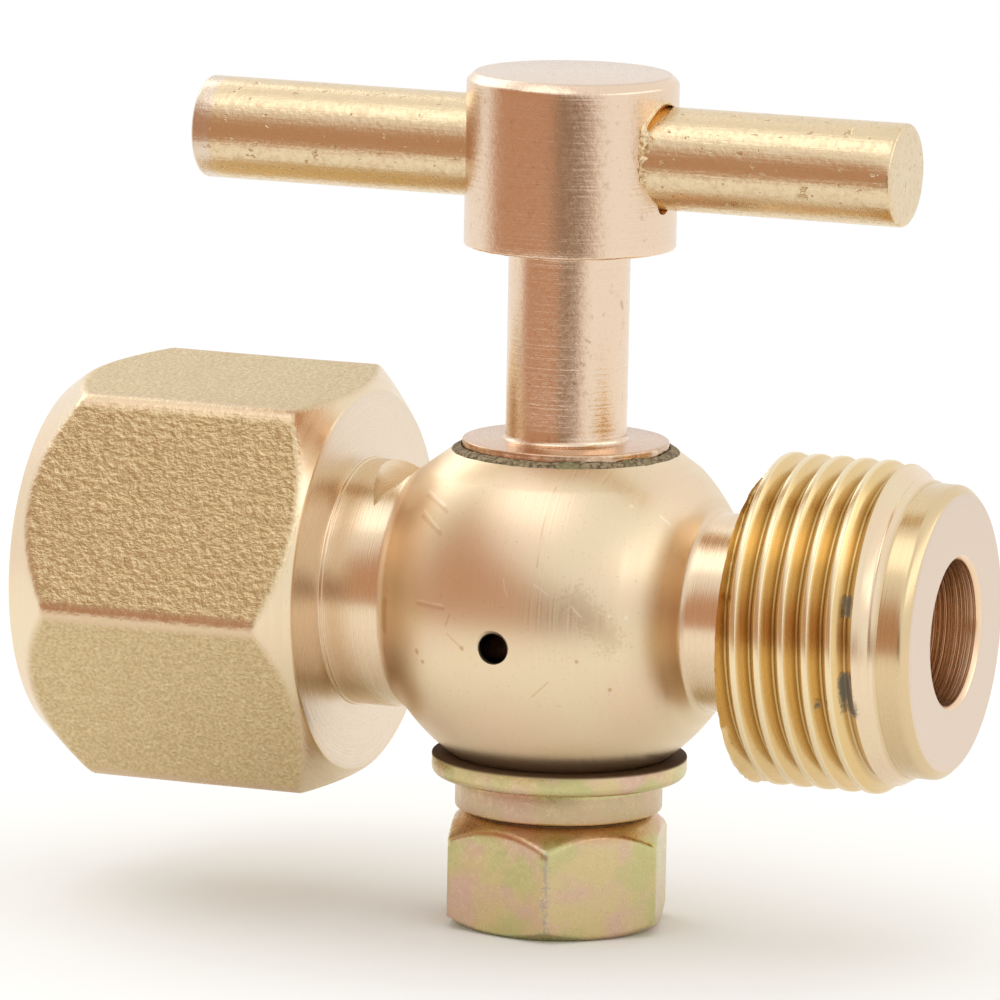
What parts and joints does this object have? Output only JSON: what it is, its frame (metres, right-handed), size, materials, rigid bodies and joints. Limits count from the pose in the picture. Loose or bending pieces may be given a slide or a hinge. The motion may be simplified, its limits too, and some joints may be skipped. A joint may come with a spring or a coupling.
{
  "type": "three-way plug cock",
  "caption": "Small brass plug cock with a cross handle: hexagon socket with inside thread, ball-shaped body with a tapered plug and vent hole, threaded spigot, plug held by washers and a nut.",
  "frame": {"origin": "centre of the socket's mouth, on the pipe axis", "axes": "+X along the pipe axis from the socket towards the spigot, +Z along the plug's axis up to the cross handle, -Y towards the side with the vent hole"},
  "size_m": [0.057, 0.0274, 0.052],
  "materials": {
    "body_brass": "turned brass, left rough on the hexagon's flats",
    "plug_bronze": "turned, rosy copper alloy",
    "bar_brass": "drawn rod with fine pits",
    "plated_steel": "yellow passivated zinc plate with pink and green tints"
  },
  "bodies": {
    "valve_body": {"cock_body": "body_brass"},
    "plug_group": {"taper_plug": "plug_bronze", "handle_bar": "bar_brass", "thrust_washer": "plated_steel", "spring_washer": "plated_steel", "tension_nut": "plated_steel"}
  },
  "joints": [
    {"name": "plug_turn", "type": "hinge", "parent": "valve_body", "child": "plug_group", "pos_m": [0.03183, 0, 0], "axis": [0, 0, 1], "continuous": true}
  ]
}
